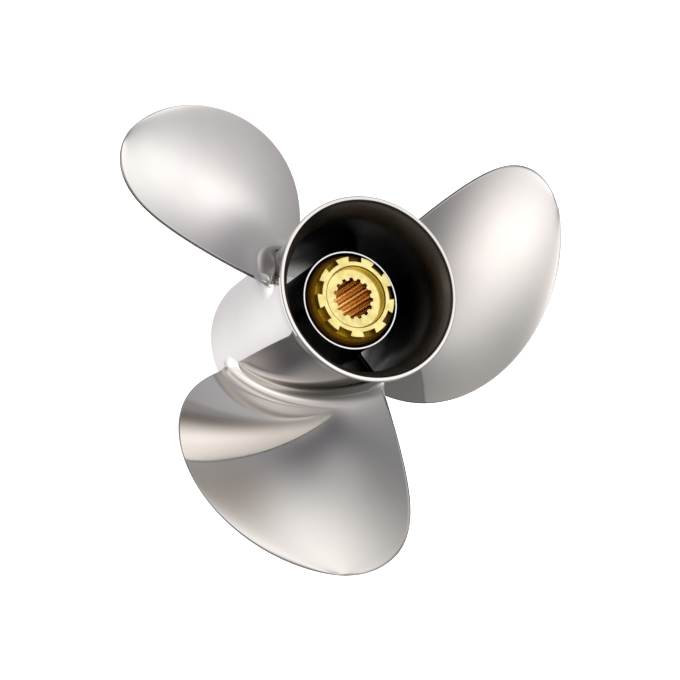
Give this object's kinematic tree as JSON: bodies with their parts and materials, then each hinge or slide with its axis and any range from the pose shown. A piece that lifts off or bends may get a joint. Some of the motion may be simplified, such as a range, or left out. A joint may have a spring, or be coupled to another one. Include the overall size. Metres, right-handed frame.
{
  "type": "outboard motor propeller",
  "caption": "Polished steel boat propeller: broad raked blades on a hollow exhaust hub with a flared mouth, inner tube on ribs, and a splined brass sleeve in rubber.",
  "frame": {"origin": "on the shaft axis, in the plane of the hub's forward end, which the part stands on", "axes": "+Z aft along the shaft axis, out of the exhaust mouth; +X to the right and +Y up as the propeller is seen from aft with its first blade hanging down"},
  "size_m": [0.3058, 0.2962, 0.152],
  "materials": {
    "polished_steel": "mirror-polished stainless steel with soft reflections",
    "hub_inside_steel": "cast stainless steel, dark and half matt inside the exhaust passage",
    "brass": "machined brass, satin",
    "black_rubber": "matt black"
  },
  "bodies": {
    "root": {"hub_barrel": "polished_steel", "exhaust_mouth": "polished_steel", "inner_hub": "hub_inside_steel", "rib_1": "hub_inside_steel", "rib_2": "hub_inside_steel", "rib_3": "hub_inside_steel", "rubber_bushing": "black_rubber", "brass_sleeve": "brass", "blade_1": "polished_steel", "blade_2": "polished_steel", "blade_3": "polished_steel"}
  },
  "joints": []
}
